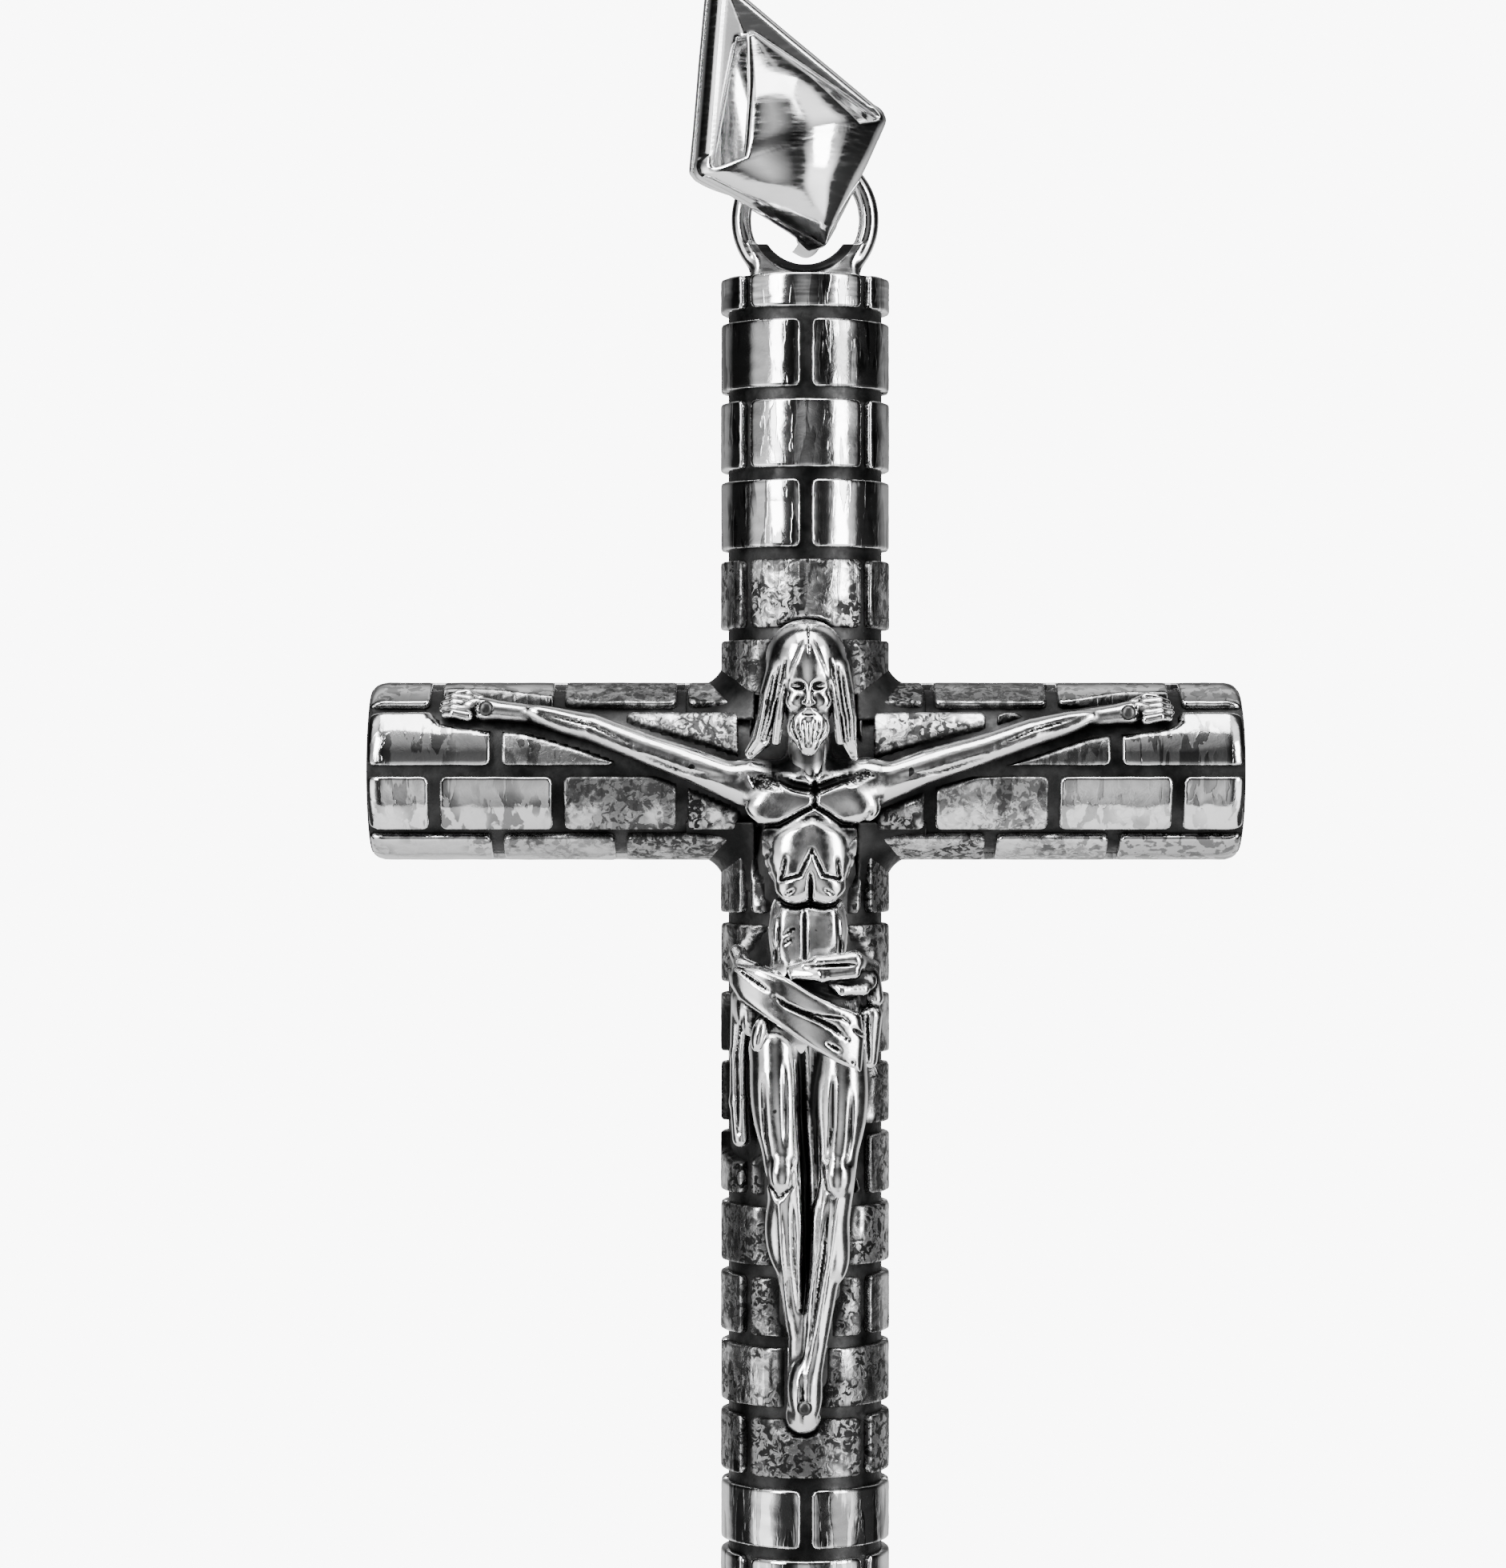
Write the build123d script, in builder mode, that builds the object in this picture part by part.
from build123d import *
import os
from math import cos, degrees, floor, radians, sin

# Crucifix pendant: a cross of two brick-faced round tubes with a cast figure, hung from an eye on a folded bail.
# Millimetres. +X is the viewer's right, -Y is the front, +Z is up. The origin is the chain's seat in the bail.

# --- Cross -------------------------------------------------------------------
bar_length = 45.1          # crossbar, end to end
bar_diameter = 9.3         # crossbar, over its bricks
shaft_diameter = 8.8       # shaft, over its bricks
shaft_above = 25.6         # bar axis to the shaft's top end
shaft_below = 49.3         # bar axis to the shaft's bottom end
brick_depth = 0.4          # how far a brick stands off its tube
joint_width = 0.6          # mortar joint between two bricks
tube_wall = 0.9
cap_thickness = 0.9
spigot_length = 1.2
spigot_wall = 0.8
push_fit = 0.02            # radial clearance of every spigot, tang and nail

# Courses of the shaft: four bricks round, each course turned by half a brick
top_course = 2.05          # short course at the shaft's top end, to the middle of its joint
upper_course = 4.12
bottom_course = 1.85
lower_course = 3.62
shaft_rows = 4
crossing_half = 3.75       # the shaft's bricks stop this far above and below the bar axis
shortest_course = 0.4      # least share of a course that still gets a joint of its own

# Rows of the bar: eight rows of long bricks, every other row shifted by half a brick
bar_brick = 6.2
bar_rows = 8

# --- Suspension eye ----------------------------------------------------------
eye_radius = 3.3           # centre line of the ring
eye_wire = 0.55            # radius of its wire
eye_rise = 3.2             # ring centre above the shaft's top end
foot_width = 6.1
foot_top_width = 5.7
foot_height = 1.1
foot_depth = 2.1
tang_diameter = 2.4

# --- Bail (u to the right, v up from its lower tip, depth towards the back) ---
bail_lean = 19.0           # leans to the viewer's left
bail_yaw = 17.0            # its front turns to the viewer's right
bail_half_width = 5.6
bail_corner_height = 5.74
bail_height = 16.3
bail_sheet = 0.75
bail_plate = 0.7           # thickness of the back shell
fold_back = 1.8            # the fold through the eye runs from the front sheet back to here
bail_tip_half_width = 0.3
rim_width = 0.6            # flat along the edge where the two shells are soldered
hollow_margin = 0.2        # the hollow is cut this much wider than the shell on each side
eye_height_in_bail = 2.0   # ring centre above the bail's lower tip
seat_above_eye = 8.3       # where the chain bears, above the ring centre
window_sill = 5.6
window_half_width = 4.75
window_height = 11.6
tongue_half_width = 3.05
tongue_tip_half_width = 0.2
bail_corner_radius = 0.75
fold_height = 0.9

# Sections of the bail: share of the height up to the corners or from the corners to the tip, where the
# front stands at the middle and at its edge, and where the back stands at the middle and at its edge.
# Above the corners both shells meet at the rim, so the back's edge follows the front's.
bail_rim = bail_sheet + bail_plate
bail_lower_sections = [
    (0.0, -0.6, -0.3, 2.55, 2.5),
    (0.21, -2.5, -1.9, 2.6, 2.5),
    (0.65, -4.1, -2.9, 2.65, 2.55),
    (1.0, -4.5, -2.1, 2.65, -2.1 + bail_rim),
]
bail_upper_sections = [
    (0.28, -3.7, -1.3, 2.6, -1.3 + bail_rim),
    (0.56, -1.8, -0.45, 2.4, -0.45 + bail_rim),
    (1.0, 0.5, 0.75, 0.75 + bail_rim, 0.75 + bail_rim - 0.05),
]

# --- Figure ------------------------------------------------------------------
moat = 0.6                 # bricks are cut back this far round the figure
moat_back = 1.1            # the cut goes back to this far in front of the middle plane
smallest_brick = 0.1       # mm3, bits of brick smaller than this are left out
nail_shank = 0.25
nail_head = 0.42
nail_head_height = 0.3
nail_inset = 0.2           # the nail stands this far from the palm's middle, towards the wrist
nail_grip = 0.5            # length of shank inside the tube's wall
cone_share = 0.96          # a limb's cones against the balls at its joints
torso_sink = 0.7           # how deep the torso's sections reach into the shaft's tube, before they are cut off

bar_radius = bar_diameter / 2
shaft_radius = shaft_diameter / 2
bar_tube_radius = bar_radius - brick_depth
shaft_tube_radius = shaft_radius - brick_depth
half_joint = joint_width / 2

# Places. The bail leans about the eye, so the eye lies to one side of the seat.
eye_x = seat_above_eye * sin(radians(bail_lean))
eye_z = -seat_above_eye * cos(radians(bail_lean))
bar_z = eye_z - eye_rise - shaft_above
top_z = bar_z + shaft_above
bottom_z = bar_z - shaft_below

# Arms lie on the bar: distance along it, angle up its front, height over the tube, thickness (all radii)
left_arm = [
    (-2.97, -10, 0.73, 1.05),
    (-5.7, 3, 0.68, 0.95),
    (-8.4, 14.4, 0.60, 0.82),
    (-11.0, 27, 0.62, 0.80),
    (-14.1, 37.3, 0.55, 0.58),
    (-16.6, 41.5, 0.58, 0.78),
    (-18.5, 44, 0.50, 0.50),
]
right_arm = [
    (3.3, -10, 0.73, 1.05),
    (6.2, 3, 0.66, 0.95),
    (9.16, 13.5, 0.58, 0.82),
    (11.6, 24, 0.58, 0.80),
    (14.4, 34.5, 0.50, 0.58),
    (16.7, 39, 0.50, 0.80),
    (18.6, 42.3, 0.46, 0.50),
]
left_palm = 5
right_palm = 5

# Torso sections: height over the bar axis, half width, half depth
torso = [
    (0.4, 1.3, 1.3),
    (-0.7, 3.3, 1.7),
    (-2.2, 3.3, 2.0),
    (-4.5, 2.75, 2.0),
    (-6.6, 2.1, 1.8),
    (-8.4, 1.9, 1.6),
    (-10.5, 2.4, 1.75),
    (-12.5, 3.0, 1.95),
    (-14.5, 2.9, 1.85),
    (-16.4, 1.9, 1.5),
]

# Limbs on the shaft: distance to the right, height over the bar axis, height over the tube, radius
left_leg = [
    (-1.6, -14.2, 1.2, 1.35),
    (-1.4, -17.8, 1.7, 1.2),
    (-1.1, -20.8, 2.1, 1.0),
    (-0.75, -24.0, 1.5, 0.95),
    (-0.35, -29.0, 0.75, 0.6),
    (-0.3, -31.6, 0.6, 0.7),
]
right_leg = [
    (1.75, -14.5, 1.2, 1.35),
    (1.7, -17.8, 1.7, 1.2),
    (1.6, -20.8, 2.1, 1.0),
    (1.1, -24.0, 1.9, 0.95),
    (0.38, -29.3, 1.55, 0.62),
    (-0.1, -32.2, 1.2, 0.85),
    (-0.12, -33.2, 0.8, 0.7),
]
hanging_cloth = [
    (-2.9, -12.6, 0.6, 0.8),
    (-3.2, -16.0, 0.0, 0.6),
    (-3.2, -19.5, -0.3, 0.6),
]
head = [
    (0.05, 5.3, 2.2, 2.0),
    (0.2, 2.9, 2.7, 1.5),
    (0.3, 1.7, 2.6, 0.8),
]
neck = [
    (0.1, 3.4, 1.3, 1.3),
    (0.1, -0.2, 1.2, 1.2),
]
left_hair = [
    (-0.9, 4.6, 1.7, 1.4),
    (-1.75, 1.6, 1.3, 0.7),
    (-1.9, 0.2, 1.1, 0.5),
]
right_hair = [
    (1.0, 4.6, 1.7, 1.4),
    (1.95, 1.6, 1.3, 0.7),
    (2.2, 0.4, 1.1, 0.5),
]
feet_nail_height = -32.4


def bar_point(x, angle, lift):
    # point over the front of the crossbar's tube
    reach = bar_tube_radius + lift
    return (eye_x + x, -reach * cos(radians(angle)), bar_z + reach * sin(radians(angle)))


def shaft_point(x, height, lift):
    # point over the front of the shaft's tube
    return (eye_x + x, -shaft_tube_radius - lift, bar_z + height)


def bar_plane(x):
    # square to the bar, its x axis to the back, so that the front is at 180 degrees
    return Plane(origin=(eye_x + x, 0, bar_z), x_dir=(0, 1, 0), z_dir=(1, 0, 0))


def shaft_plane(height):
    return Plane(origin=(eye_x, 0, bar_z + height), x_dir=(1, 0, 0), z_dir=(0, 0, 1))


front_plane = Plane(origin=(eye_x, 0, bar_z), x_dir=(1, 0, 0), z_dir=(0, -1, 0))


def limb(points, radii):
    # rounded limb through the points: balls joined by cones a little slimmer than the balls
    seated = (Align.CENTER, Align.CENTER, Align.MIN)
    runs = [Vector(*points[index + 1]) - Vector(*points[index]) for index in range(len(points) - 1)]
    for index, run in enumerate(runs):
        wide = radii[index] * cone_share
        narrow = radii[index + 1] * cone_share
        with Locations(Plane(origin=points[index], z_dir=run)):
            if wide == narrow:
                Cylinder(wide, run.length, align=seated)
            else:
                Cone(wide, narrow, run.length, align=seated)
    # each ball's poles lie along the limb, inside its cones
    for point, radius, run in zip(points, radii, runs + runs[-1:]):
        with Locations(Plane(origin=point, z_dir=run)):
            Sphere(radius)


def on_bar(stations):
    limb([bar_point(x, angle, lift) for x, angle, lift, radius in stations], [s[3] for s in stations])


def on_shaft(stations):
    limb([shaft_point(x, height, lift) for x, height, lift, radius in stations], [s[3] for s in stations])


def sector(inner, outer, middle, sweep):
    # one brick's cross-section, narrowed by half a joint on each side
    trim = degrees(half_joint / outer)
    start = middle - sweep / 2 + trim
    with BuildLine() as outline:
        outside = CenterArc((0, 0), outer, start, sweep - 2 * trim)
        inside = CenterArc((0, 0), inner, start, sweep - 2 * trim)
        Line(outside @ 0, inside @ 0)
        Line(outside @ 1, inside @ 1)
    make_face(outline.edges())


def joint_places(length, end_course, course):
    # distances of the joints from the free end; the course beside the bar takes what is left
    room = (length - crossing_half - end_course) / course
    count = max(1, 1 + floor(room - shortest_course))
    return [end_course + index * course for index in range(count)]


def shaft_courses(length, end_course, course, upwards):
    # the end course has bricks centred on the front, and the next ones are turned by half a brick
    edges = [0] + joint_places(length, end_course, course) + [length - crossing_half]
    for index in range(len(edges) - 1):
        low = edges[index] + (half_joint if index else 0)
        last = index == len(edges) - 2
        high = edges[index + 1] - (0 if last else half_joint)
        turn = 0 if index % 2 == 0 else 180 / shaft_rows
        height = length - high if upwards else low - length
        with BuildSketch(shaft_plane(height)) as course_profile:
            for row in range(shaft_rows):
                middle = 90 + turn + 360 / shaft_rows * row
                sector(shaft_tube_radius, shaft_radius, middle, 360 / shaft_rows)
        extrude(course_profile.sketch, amount=high - low)


def bar_row_angles(shifted, crossing):
    # shifted rows are the ones just above the front; rows over 45 degrees stop at the shaft
    pitch = 360 / bar_rows
    angles = [180 - pitch / 2 - (0 if shifted else pitch) - 2 * pitch * row for row in range(bar_rows // 2)]
    if crossing:
        return [angle for angle in angles if abs(cos(radians(angle))) > cos(radians(45))]
    return angles


def bar_bricks(first, last, shifted, crossing):
    with BuildSketch(bar_plane(first)) as rows:
        for angle in bar_row_angles(shifted, crossing):
            sector(bar_tube_radius, bar_radius, angle, 360 / bar_rows)
    extrude(rows.sketch, amount=last - first)


def bar_joints(shifted):
    # joints from the middle to the end, on the side where x is positive
    start = bar_brick / 2 if shifted else 0
    count = 1 + floor((bar_length / 2 - joint_width - start) / bar_brick)
    return [start + index * bar_brick for index in range(count)]


def arm_bricks(side):
    for shifted in (False, True):
        edges = bar_joints(shifted) + [bar_length / 2 + half_joint]
        for index in range(len(edges) - 1):
            near = edges[index] + half_joint
            far = edges[index + 1] - half_joint
            inside = index == 0 and not shifted
            first, last = (near, far) if side > 0 else (-far, -near)
            if not inside:
                bar_bricks(first, last, shifted, False)
            else:
                # the front and back bricks beside the middle belong to the crossing
                with BuildSketch(bar_plane(first)) as rows:
                    for angle in bar_row_angles(shifted, False):
                        if abs(cos(radians(angle))) < cos(radians(45)):
                            sector(bar_tube_radius, bar_radius, angle, 360 / bar_rows)
                extrude(rows.sketch, amount=last - first)


def envelope(left, right):
    # circle over the outer sides of two limbs at one station
    low = left[0] - left[3]
    high = right[0] + right[3]
    return ((low + high) / 2, (left[1] + right[1]) / 2, (high - low) / 2)


def moat_spans():
    # pairs of circles in the front plane: place, height and radius of each
    def flat_bar(station):
        return (station[0], bar_point(*station[:3])[2] - bar_z, station[3])

    def flat_shaft(station):
        return (station[0], station[1], station[3])

    body = [(0, section[0], section[1]) for section in torso[1:-2]]
    body += [envelope(left, right) for left, right in zip(left_leg[:5], right_leg[:5])]
    body += [flat_shaft(station) for station in right_leg[5:]]
    crown = [flat_shaft(head[0]), envelope(left_hair[1], right_hair[1])]
    chains = [[flat_bar(s) for s in left_arm], [flat_bar(s) for s in right_arm], body, crown]
    chains.append([flat_shaft(s) for s in hanging_cloth])
    return [(chain[i], chain[i + 1]) for chain in chains for i in range(len(chain) - 1)]


def cut_cylinder(plane, radius, length):
    with BuildSketch(plane) as disc:
        Circle(radius)
    extrude(disc.sketch, amount=length, both=True, mode=Mode.SUBTRACT)


# --- Tubes -------------------------------------------------------------------
def palm_point(station, inset):
    return bar_point(station[0] + inset, station[1], station[2])


nail_points = [palm_point(left_arm[left_palm], nail_inset), palm_point(right_arm[right_palm], -nail_inset)]
feet_nail_point = shaft_point(right_leg[5][0], feet_nail_height, right_leg[5][2])


def wall_front(radius, across):
    # y of the tube's front where a nail enters it
    return -((radius**2 - across**2) ** 0.5)


def nail_tip(point, on_crossbar):
    across = point[2] - bar_z if on_crossbar else point[0] - eye_x
    radius = bar_tube_radius if on_crossbar else shaft_tube_radius
    return wall_front(radius, across) + nail_grip


def drill(point, tip_y, clearance):
    # hole for a nail's shank, from well in front of the figure down to its tip
    with BuildSketch(Plane(origin=(point[0], tip_y + clearance, point[2]), z_dir=(0, -1, 0))) as hole:
        Circle(nail_shank + clearance)
    extrude(hole.sketch, amount=bar_diameter, mode=Mode.SUBTRACT)


with BuildPart() as crossbar_tube:
    with BuildSketch(bar_plane(-bar_length / 2 + cap_thickness)):
        Circle(bar_tube_radius)
        Circle(bar_tube_radius - tube_wall, mode=Mode.SUBTRACT)
    extrude(amount=bar_length - 2 * cap_thickness)
    for point in nail_points:
        drill(point, nail_tip(point, True), push_fit)
crossbar_tube.part.label = "crossbar_tube"


def shaft_tube(start, length):
    with BuildSketch(shaft_plane(start)) as ring:
        Circle(shaft_tube_radius)
        Circle(shaft_tube_radius - tube_wall, mode=Mode.SUBTRACT)
    extrude(ring.sketch, amount=length)
    cut_cylinder(bar_plane(0), bar_tube_radius, bar_length)


with BuildPart() as upper_shaft_tube:
    shaft_tube(0, shaft_above - cap_thickness)
upper_shaft_tube.part.label = "upper_shaft_tube"

with BuildPart() as lower_shaft_tube:
    shaft_tube(-shaft_below + cap_thickness, shaft_below - cap_thickness)
    drill(feet_nail_point, nail_tip(feet_nail_point, False), push_fit)
lower_shaft_tube.part.label = "lower_shaft_tube"


# --- End caps: a disc with a hollow spigot that pushes into the tube -----------
def end_cap(plane, tube_radius):
    spigot_radius = tube_radius - tube_wall - push_fit
    with BuildSketch(plane) as disc:
        Circle(tube_radius)
    extrude(disc.sketch, amount=-cap_thickness)
    with BuildSketch(plane.offset(-cap_thickness)) as ring:
        Circle(spigot_radius)
        Circle(spigot_radius - spigot_wall, mode=Mode.SUBTRACT)
    extrude(ring.sketch, amount=-spigot_length)


with BuildPart() as right_cap:
    end_cap(bar_plane(bar_length / 2), bar_tube_radius)
right_cap.part.label = "right_cap"

with BuildPart() as left_cap:
    end_cap(Plane(origin=bar_plane(-bar_length / 2).origin, z_dir=(-1, 0, 0)), bar_tube_radius)
left_cap.part.label = "left_cap"

with BuildPart() as bottom_cap:
    end_cap(Plane(origin=shaft_plane(-shaft_below).origin, z_dir=(0, 0, -1)), shaft_tube_radius)
bottom_cap.part.label = "bottom_cap"

with BuildPart() as top_cap:
    end_cap(shaft_plane(shaft_above), shaft_tube_radius)
    with BuildSketch(shaft_plane(shaft_above)):
        Circle(tang_diameter / 2 + push_fit)
    extrude(amount=-cap_thickness, mode=Mode.SUBTRACT)
top_cap.part.label = "top_cap"

# --- Suspension eye: ring, flared foot and a tang through the top cap ----------
eye_plane = Plane(origin=(eye_x, 0, eye_z), x_dir=(1, 0, 0), z_dir=(0, -1, 0))

with BuildPart() as suspension_eye:
    with Locations(eye_plane):
        Torus(eye_radius, eye_wire)
    with BuildSketch(eye_plane):
        with BuildLine():
            Polyline(
                (-foot_width / 2, -eye_rise),
                (-foot_top_width / 2, -eye_rise + foot_height),
                (foot_top_width / 2, -eye_rise + foot_height),
                (foot_width / 2, -eye_rise),
                close=True,
            )
        make_face()
        Circle(eye_radius - eye_wire, mode=Mode.SUBTRACT)
    extrude(amount=foot_depth / 2, both=True)
    with BuildSketch(shaft_plane(shaft_above)):
        Rectangle(4 * eye_radius, 4 * eye_radius)
    extrude(amount=-eye_radius, mode=Mode.SUBTRACT)
    with BuildSketch(shaft_plane(shaft_above)):
        Circle(tang_diameter / 2)
    extrude(amount=-cap_thickness)
suspension_eye.part.label = "suspension_eye"


# --- Bail: a domed front and a back shell, soldered at the rim and at the fold --
lean = radians(bail_lean)
yaw = radians(bail_yaw)
bail_right = Vector(cos(yaw) * cos(lean), sin(yaw), cos(yaw) * sin(lean))
bail_up = Vector(-sin(lean), 0, cos(lean))
bail_back_axis = bail_up.cross(bail_right)
bail_origin = Vector(eye_x, 0, eye_z) - bail_up * eye_height_in_bail
bail_face_plane = Plane(origin=bail_origin, x_dir=bail_right, z_dir=-bail_back_axis)
bail_reach = 2 * bail_half_width


def bail_levels():
    # height and half width of each section, and its four depths
    levels = []
    for share, *depths in bail_lower_sections:
        width = max(bail_tip_half_width, share * bail_half_width)
        levels.append((share * bail_corner_height, width, depths))
    for share, *depths in bail_upper_sections:
        height = bail_corner_height + share * (bail_height - bail_corner_height)
        width = max(bail_tip_half_width, (1 - share) * bail_half_width)
        levels.append((height, width, depths))
    return levels


def bail_sections(front, extra_width, setback, depth):
    # arched sections of one shell, widened, set back into the bail and closed at a depth inside its edge
    inwards = 1 if front else -1
    sections = []
    for height, half_width, depths in bail_levels():
        middle, edge = depths[:2] if front else depths[2:]
        level = Plane(origin=bail_origin + bail_up * height, x_dir=bail_right, z_dir=bail_up)
        width = half_width + extra_width
        arch = max(bail_tip_half_width / 2, half_width - rim_width)
        start = edge + inwards * setback
        end = edge + inwards * depth
        with BuildSketch(level) as section:
            with BuildLine() as outline:
                if setback:
                    ThreePointArc((-arch, start), (0, middle + inwards * setback), (arch, start))
                    Polyline((arch, start), (width, start), (width, end),
                             (-width, end), (-width, start), (-arch, start))
                else:
                    ThreePointArc((-width, start), (0, middle), (width, start))
                    Polyline((width, start), (width, end), (-width, end), (-width, start))
            make_face(outline.edges())
        sections.append(section.sketch)
    return sections


def bail_foot(high):
    # the kite's outline from its lower tip up to a height
    with BuildSketch(bail_face_plane) as kite:
        with BuildLine() as outline:
            Polyline(
                (0, 0),
                (bail_half_width, bail_corner_height),
                (0, bail_height),
                (-bail_half_width, bail_corner_height),
                close=True,
            )
        make_face(outline.edges())
        fillet(kite.vertices(), bail_corner_radius)
        with Locations((0, high / 2)):
            Rectangle(bail_reach, high, mode=Mode.INTERSECT)
    return kite.sketch


def window(half_width):
    # opening above the sill, or the tongue that stands in it
    tip = tongue_tip_half_width
    with BuildSketch(bail_face_plane) as opening:
        with BuildLine() as outline:
            Polyline(
                (-half_width, window_sill),
                (half_width, window_sill),
                (tip, window_height),
                (-tip, window_height),
                close=True,
            )
        make_face(outline.edges())
    return opening.sketch


slots = window(window_half_width) - window(tongue_half_width)
fold = bail_foot(fold_height).moved(Location(bail_back_axis * fold_back))

with BuildPart() as bail_front:
    loft(bail_sections(True, 0, 0, bail_sheet), ruled=True)
    loft(bail_sections(True, hollow_margin, bail_sheet, bail_reach), ruled=True, mode=Mode.SUBTRACT)
    extrude(slots, amount=bail_reach, both=True, mode=Mode.SUBTRACT)
    extrude(fold, amount=2 * fold_back)
bail_front.part.label = "bail_front"

with BuildPart() as bail_back:
    loft(bail_sections(False, 0, 0, bail_plate), ruled=True)
    loft(bail_sections(False, hollow_margin, bail_plate, bail_reach), ruled=True, mode=Mode.SUBTRACT)
bail_back.part.label = "bail_back"


# --- Figure: one casting, hollowed at the back to sit on the tubes --------------
with BuildPart() as corpus:
    for height, half_width, half_depth in torso:
        middle = (0, -shaft_tube_radius + torso_sink - half_depth)
        with BuildSketch(shaft_plane(height)):
            with Locations(middle):
                Ellipse(half_width, half_depth)
    loft()
    for stations in (left_arm, right_arm):
        on_bar(stations)
    for stations in (neck, head, left_hair, right_hair, left_leg, right_leg, hanging_cloth):
        on_shaft(stations)
    cut_cylinder(bar_plane(0), bar_tube_radius, bar_length)
    cut_cylinder(shaft_plane(0), shaft_tube_radius, shaft_above + shaft_below)
    with BuildSketch(front_plane):
        for point in nail_points + [feet_nail_point]:
            with Locations((point[0] - eye_x, point[2] - bar_z)):
                Circle(nail_shank + push_fit)
    extrude(amount=bar_diameter, mode=Mode.SUBTRACT)
corpus.part.label = "corpus"


# --- Nails -------------------------------------------------------------------
def nail(point, tip_y, face_y):
    # shank from its tip to the figure's face, then a low round head
    with BuildSketch(Plane(origin=(point[0], tip_y, point[2]), z_dir=(0, -1, 0))) as shank:
        Circle(nail_shank)
    extrude(shank.sketch, amount=tip_y - face_y)
    with BuildSketch(Plane(origin=(point[0], face_y, point[2]), z_dir=(0, -1, 0))) as face:
        Circle(nail_head)
    extrude(face.sketch, amount=nail_head_height)


with BuildPart() as hand_nails:
    for point, station in zip(nail_points, (left_arm[left_palm], right_arm[right_palm])):
        nail(point, nail_tip(point, True), point[1] - station[3])
hand_nails.part.label = "hand_nails"

with BuildPart() as feet_nail:
    nail(feet_nail_point, nail_tip(feet_nail_point, False), feet_nail_point[1] - right_leg[5][3])
feet_nail.part.label = "feet_nail"

# --- Bricks ------------------------------------------------------------------
with BuildPart() as moat_cutter:
    with BuildSketch(front_plane.offset(moat_back)):
        for start, end in moat_spans():
            make_hull([Edge.make_circle(r + moat, Plane((x, height, 0))) for x, height, r in (start, end)])
    extrude(amount=shaft_radius + bar_radius)


def cut_moat(bricks):
    add(moat_cutter.part, mode=Mode.SUBTRACT)
    for bit in [piece for piece in bricks.part.solids() if piece.volume < smallest_brick]:
        add(bit, mode=Mode.SUBTRACT)


with BuildPart() as upper_shaft_bricks:
    shaft_courses(shaft_above, top_course, upper_course, True)
    cut_cylinder(bar_plane(0), bar_radius + joint_width, bar_length)
    cut_moat(upper_shaft_bricks)
upper_shaft_bricks.part.label = "upper_shaft_bricks"

with BuildPart() as lower_shaft_bricks:
    shaft_courses(shaft_below, bottom_course, lower_course, False)
    cut_cylinder(bar_plane(0), bar_radius + joint_width, bar_length)
    cut_moat(lower_shaft_bricks)
lower_shaft_bricks.part.label = "lower_shaft_bricks"

with BuildPart() as left_arm_bricks:
    arm_bricks(-1)
    cut_cylinder(shaft_plane(0), shaft_radius + joint_width, bar_diameter)
    cut_moat(left_arm_bricks)
left_arm_bricks.part.label = "left_arm_bricks"

with BuildPart() as right_arm_bricks:
    arm_bricks(1)
    cut_cylinder(shaft_plane(0), shaft_radius + joint_width, bar_diameter)
    cut_moat(right_arm_bricks)
right_arm_bricks.part.label = "right_arm_bricks"

with BuildPart() as crossing_bricks:
    bar_bricks(-bar_brick / 2 + half_joint, bar_brick / 2 - half_joint, True, True)
    bar_bricks(half_joint, bar_brick - half_joint, False, True)
    bar_bricks(-bar_brick + half_joint, -half_joint, False, True)
    cut_cylinder(shaft_plane(0), shaft_tube_radius, bar_diameter)
    cut_moat(crossing_bricks)
crossing_bricks.part.label = "crossing_bricks"

os.makedirs("parts", exist_ok=True)
export_step(bail_front.part, "parts/bail_front.step")
export_step(bail_back.part, "parts/bail_back.step")
export_step(suspension_eye.part, "parts/suspension_eye.step")
export_step(top_cap.part, "parts/top_cap.step")
export_step(bottom_cap.part, "parts/bottom_cap.step")
export_step(left_cap.part, "parts/left_cap.step")
export_step(right_cap.part, "parts/right_cap.step")
export_step(crossbar_tube.part, "parts/crossbar_tube.step")
export_step(upper_shaft_tube.part, "parts/upper_shaft_tube.step")
export_step(lower_shaft_tube.part, "parts/lower_shaft_tube.step")
export_step(upper_shaft_bricks.part, "parts/upper_shaft_bricks.step")
export_step(lower_shaft_bricks.part, "parts/lower_shaft_bricks.step")
export_step(left_arm_bricks.part, "parts/left_arm_bricks.step")
export_step(right_arm_bricks.part, "parts/right_arm_bricks.step")
export_step(crossing_bricks.part, "parts/crossing_bricks.step")
export_step(corpus.part, "parts/corpus.step")
export_step(hand_nails.part, "parts/hand_nails.step")
export_step(feet_nail.part, "parts/feet_nail.step")

print("eye centre", round(eye_x, 3), round(eye_z, 3), "bar axis", round(bar_z, 3))
print("top", round(top_z, 3), "bottom", round(bottom_z, 3))
